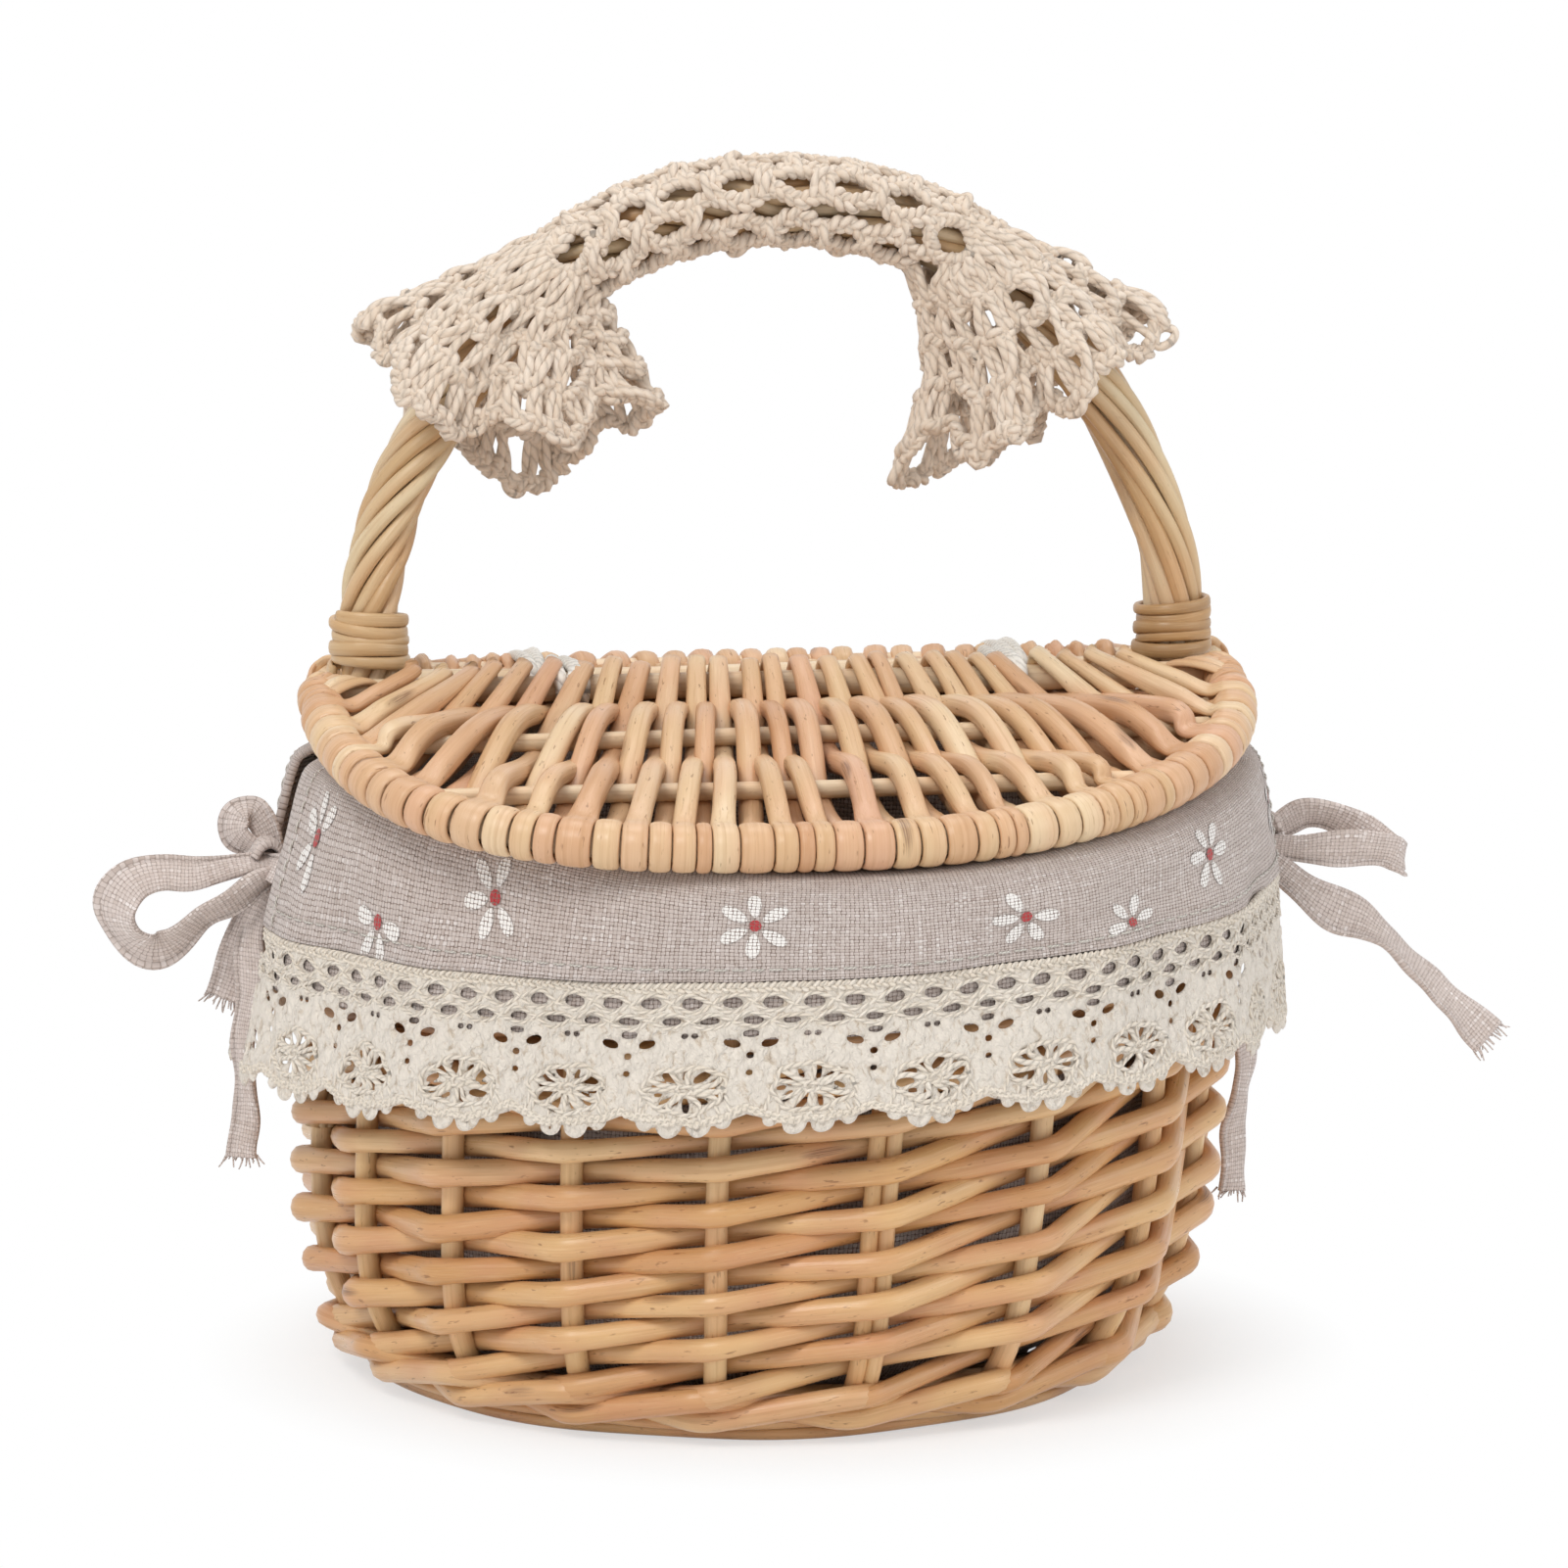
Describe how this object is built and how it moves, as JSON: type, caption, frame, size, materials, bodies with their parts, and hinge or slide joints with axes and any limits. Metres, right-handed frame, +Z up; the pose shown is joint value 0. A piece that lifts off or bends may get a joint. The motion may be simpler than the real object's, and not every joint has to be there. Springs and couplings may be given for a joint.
{
  "type": "picnic hamper",
  "caption": "Round willow picnic hamper: fixed twisted handle, paired lids on cord hinges, linen liner with lace-edged cuff tied in bows, and a crochet handle cover.",
  "frame": {"origin": "on the table, straight below the middle of the handle", "axes": "+X along the handle towards its right foot, front lid towards -Y, +Z up"},
  "size_m": [0.3643, 0.2762, 0.3063],
  "materials": {
    "willow": "golden willow rods, satin",
    "stakes": "pale willow rods, satin",
    "peeled": "peeled willow, satin",
    "linen": "plain woven linen with small white flowers",
    "lace": "cream cotton lace",
    "crochet": "ecru cotton yarn, crocheted",
    "cord": "white soft cord"
  },
  "bodies": {
    "basket": {"weave_outer": "willow", "weave_inner": "willow", "stakes_front": "stakes", "stakes_rear": "stakes", "foot_wale": "peeled", "base_weave": "willow", "base_sticks": "peeled", "handle_core": "peeled", "handle_twist": "stakes", "hinge_bar": "peeled", "binding_left": "peeled", "binding_right": "peeled", "front_loop_left": "cord", "front_loop_right": "cord", "rear_loop_left": "cord", "rear_loop_right": "cord", "liner_bag": "linen", "liner_cuff_front": "linen", "liner_cuff_rear": "linen", "lace_front": "lace", "lace_rear": "lace", "tie_left_knot": "linen", "tie_left_loop": "linen", "tie_left_back_loop": "linen", "tie_left_tail": "linen", "tie_left_short_tail": "linen", "tie_right_knot": "linen", "tie_right_loop": "linen", "tie_right_tail": "linen", "tie_right_short_tail": "linen", "handle_cover": "crochet"},
    "front_lid": {"front_lid_hoop": "peeled", "front_lid_back_bar": "peeled", "front_lid_rib_1": "peeled", "front_lid_rib_2": "peeled", "front_lid_weave": "willow"},
    "rear_lid": {"rear_lid_hoop": "peeled", "rear_lid_back_bar": "peeled", "rear_lid_rib_1": "peeled", "rear_lid_rib_2": "peeled", "rear_lid_weave": "willow"}
  },
  "joints": [
    {"name": "front_lid_hinge", "type": "hinge", "parent": "basket", "child": "front_lid", "pos_m": [0, -0.017, 0.174], "axis": [-1, 0, 0], "range_deg": [0, 86]},
    {"name": "rear_lid_hinge", "type": "hinge", "parent": "basket", "child": "rear_lid", "pos_m": [0, 0.017, 0.174], "axis": [1, 0, 0], "range_deg": [0, 86]}
  ]
}
